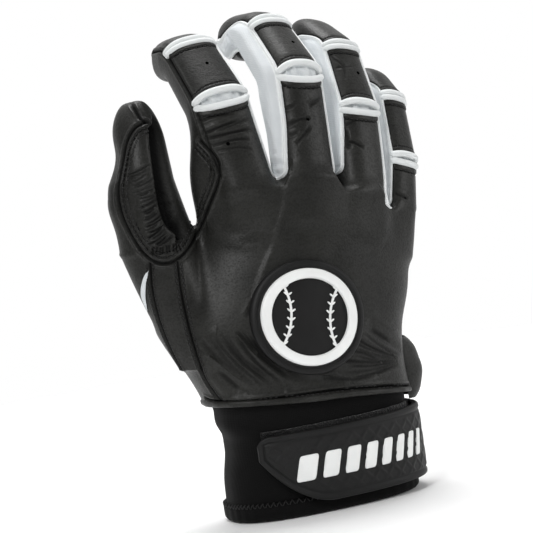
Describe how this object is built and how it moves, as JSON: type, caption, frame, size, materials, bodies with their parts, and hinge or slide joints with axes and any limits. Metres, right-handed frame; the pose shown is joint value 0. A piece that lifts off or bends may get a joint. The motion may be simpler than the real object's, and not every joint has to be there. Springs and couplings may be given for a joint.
{
  "type": "batting glove",
  "caption": "Right-hand batting glove standing on its cuff: leather panels, white elastic finger sides and knuckle bands, neoprene cuff, rubber wrist strap and a raised round badge.",
  "frame": {"origin": "centre of the wrist opening, in the plane of the cuff's hem", "axes": "+Z from the wrist to the fingertips, back of the hand faces -Y, thumb at -X"},
  "size_m": [0.1452, 0.0852, 0.2105],
  "materials": {
    "black_leather": "semi-gloss, fine grain",
    "white_elastic": "matt knit",
    "neoprene": "matt jersey-faced foam",
    "black_rubber": "satin moulded",
    "white_rubber": "satin moulded",
    "hook_loop": "fuzzy hook and loop tape"
  },
  "bodies": {
    "hand": {"back_panel": "black_leather", "palm_panel": "black_leather", "thumb_side_strip": "black_leather", "side_accent": "white_elastic", "back_hem": "black_leather", "badge": "black_rubber", "badge_motif": "white_rubber", "cuff": "neoprene", "cuff_hem": "neoprene", "loop_patch": "hook_loop", "strap_anchor": "black_rubber", "ulnar_gusset": "black_leather", "index_middle_fourchette": "white_elastic", "middle_ring_fourchette": "white_elastic", "ring_little_fourchette": "white_elastic", "thumb_root": "black_leather", "index_knuckle_back": "black_leather", "middle_knuckle_back": "black_leather", "ring_knuckle_back": "black_leather", "little_knuckle_back": "black_leather"},
    "index_base": {"index_base_back": "black_leather", "index_base_front": "black_leather", "index_lower_band": "white_elastic"},
    "index_mid": {"index_mid_back": "black_leather", "index_mid_front": "black_leather", "index_upper_band": "white_elastic"},
    "index_tip": {"index_tip_back": "black_leather", "index_tip_front": "black_leather"},
    "middle_base": {"middle_base_back": "black_leather", "middle_base_front": "black_leather", "middle_lower_band": "white_elastic"},
    "middle_mid": {"middle_mid_back": "black_leather", "middle_mid_front": "black_leather", "middle_upper_band": "white_elastic"},
    "middle_tip": {"middle_tip_back": "black_leather", "middle_tip_front": "black_leather"},
    "ring_base": {"ring_base_back": "black_leather", "ring_base_front": "black_leather", "ring_lower_band": "white_elastic"},
    "ring_mid": {"ring_mid_back": "black_leather", "ring_mid_front": "black_leather", "ring_upper_band": "white_elastic"},
    "ring_tip": {"ring_tip_back": "black_leather", "ring_tip_front": "black_leather"},
    "little_base": {"little_base_back": "black_leather", "little_base_front": "black_leather", "little_lower_band": "white_elastic"},
    "little_mid": {"little_mid_back": "black_leather", "little_mid_front": "black_leather", "little_upper_band": "white_elastic"},
    "little_tip": {"little_tip_back": "black_leather", "little_tip_front": "black_leather"},
    "thumb_base": {"thumb_base_outer": "black_leather", "web_panel": "black_leather", "thumb_knuckle": "black_leather"},
    "thumb_tip": {"thumb_tip_outer": "black_leather", "thumb_tip_inner": "black_leather"},
    "strap": {"strap": "black_rubber", "hook_patch": "hook_loop"}
  },
  "joints": [
    {"name": "index_knuckle", "type": "hinge", "parent": "hand", "child": "index_base", "pos_m": [-0.0177, 0.00944, 0.13592], "axis": [-0.9921, -0.1045, -0.0694], "range_deg": [-15, 40], "deforming": ["index_knuckle_back", "index_middle_fourchette"]},
    {"name": "index_lower_bend", "type": "hinge", "parent": "index_base", "child": "index_mid", "pos_m": [-0.0211, 0.0187, 0.17054], "axis": [-0.9921, -0.1045, -0.0694], "range_deg": [-24, 40], "deforming": ["index_lower_band", "index_middle_fourchette"]},
    {"name": "index_upper_bend", "type": "hinge", "parent": "index_mid", "child": "index_tip", "pos_m": [-0.02349, 0.03122, 0.18595], "axis": [-0.9921, -0.1045, -0.0694], "range_deg": [-14.4, 24], "deforming": ["index_upper_band", "index_middle_fourchette"]},
    {"name": "middle_knuckle", "type": "hinge", "parent": "hand", "child": "middle_base", "pos_m": [0.00813, 0.00625, 0.13933], "axis": [-0.9686, -0.2079, 0.1361], "range_deg": [-14, 40], "deforming": ["middle_knuckle_back", "index_middle_fourchette", "middle_ring_fourchette"]},
    {"name": "middle_lower_bend", "type": "hinge", "parent": "middle_base", "child": "middle_mid", "pos_m": [0.01129, 0.015, 0.17514], "axis": [-0.9686, -0.2079, 0.1361], "range_deg": [-33, 40], "deforming": ["middle_lower_band", "index_middle_fourchette", "middle_ring_fourchette"]},
    {"name": "middle_upper_bend", "type": "hinge", "parent": "middle_mid", "child": "middle_tip", "pos_m": [0.01012, 0.03003, 0.18977], "axis": [-0.9686, -0.2079, 0.1361], "range_deg": [-19.8, 24], "deforming": ["middle_upper_band", "index_middle_fourchette", "middle_ring_fourchette"]},
    {"name": "ring_knuckle", "type": "hinge", "parent": "hand", "child": "ring_base", "pos_m": [0.03307, 0.00957, 0.12879], "axis": [-0.9285, -0.2756, 0.2488], "range_deg": [-17, 40], "deforming": ["ring_knuckle_back", "middle_ring_fourchette", "ring_little_fourchette"]},
    {"name": "ring_lower_bend", "type": "hinge", "parent": "ring_base", "child": "ring_mid", "pos_m": [0.03867, 0.01885, 0.15996], "axis": [-0.9285, -0.2756, 0.2488], "range_deg": [-15, 40], "deforming": ["ring_lower_band", "middle_ring_fourchette", "ring_little_fourchette"]},
    {"name": "ring_upper_bend", "type": "hinge", "parent": "ring_mid", "child": "ring_tip", "pos_m": [0.04055, 0.03107, 0.18052], "axis": [-0.9285, -0.2756, 0.2488], "range_deg": [-9, 24], "deforming": ["ring_upper_band", "middle_ring_fourchette", "ring_little_fourchette"]},
    {"name": "little_knuckle", "type": "hinge", "parent": "hand", "child": "little_base", "pos_m": [0.05179, 0.0164, 0.11717], "axis": [-0.883, -0.342, 0.3214], "range_deg": [-14, 40], "deforming": ["little_knuckle_back", "ring_little_fourchette"]},
    {"name": "little_lower_bend", "type": "hinge", "parent": "little_base", "child": "little_mid", "pos_m": [0.05712, 0.02117, 0.13691], "axis": [-0.883, -0.342, 0.3214], "range_deg": [-12, 40], "deforming": ["little_lower_band", "ring_little_fourchette"]},
    {"name": "little_upper_bend", "type": "hinge", "parent": "little_mid", "child": "little_tip", "pos_m": [0.06112, 0.03106, 0.15841], "axis": [-0.883, -0.342, 0.3214], "range_deg": [-7.2, 24], "deforming": ["little_upper_band", "ring_little_fourchette"]},
    {"name": "thumb_root_bend", "type": "hinge", "parent": "hand", "child": "thumb_base", "pos_m": [-0.04229, 0.01951, 0.12268], "axis": [0.6357, -0.766, 0.095], "range_deg": [-25, 0]},
    {"name": "thumb_bend", "type": "hinge", "parent": "thumb_base", "child": "thumb_tip", "pos_m": [-0.04584, 0.01951, 0.14641], "axis": [0.6357, -0.766, 0.095], "range_deg": [-40, 14], "deforming": ["thumb_knuckle"]},
    {"name": "strap_open", "type": "hinge", "parent": "hand", "child": "strap", "pos_m": [0.04743, -0.00198, 0.0205], "axis": [0, 0, 1], "range_deg": [0, 110]}
  ],
  "couplings": [
    {"joint": "index_upper_bend", "follows": "index_lower_bend", "ratio": 0.6},
    {"joint": "middle_upper_bend", "follows": "middle_lower_bend", "ratio": 0.6},
    {"joint": "ring_upper_bend", "follows": "ring_lower_bend", "ratio": 0.6},
    {"joint": "little_upper_bend", "follows": "little_lower_bend", "ratio": 0.6}
  ]
}
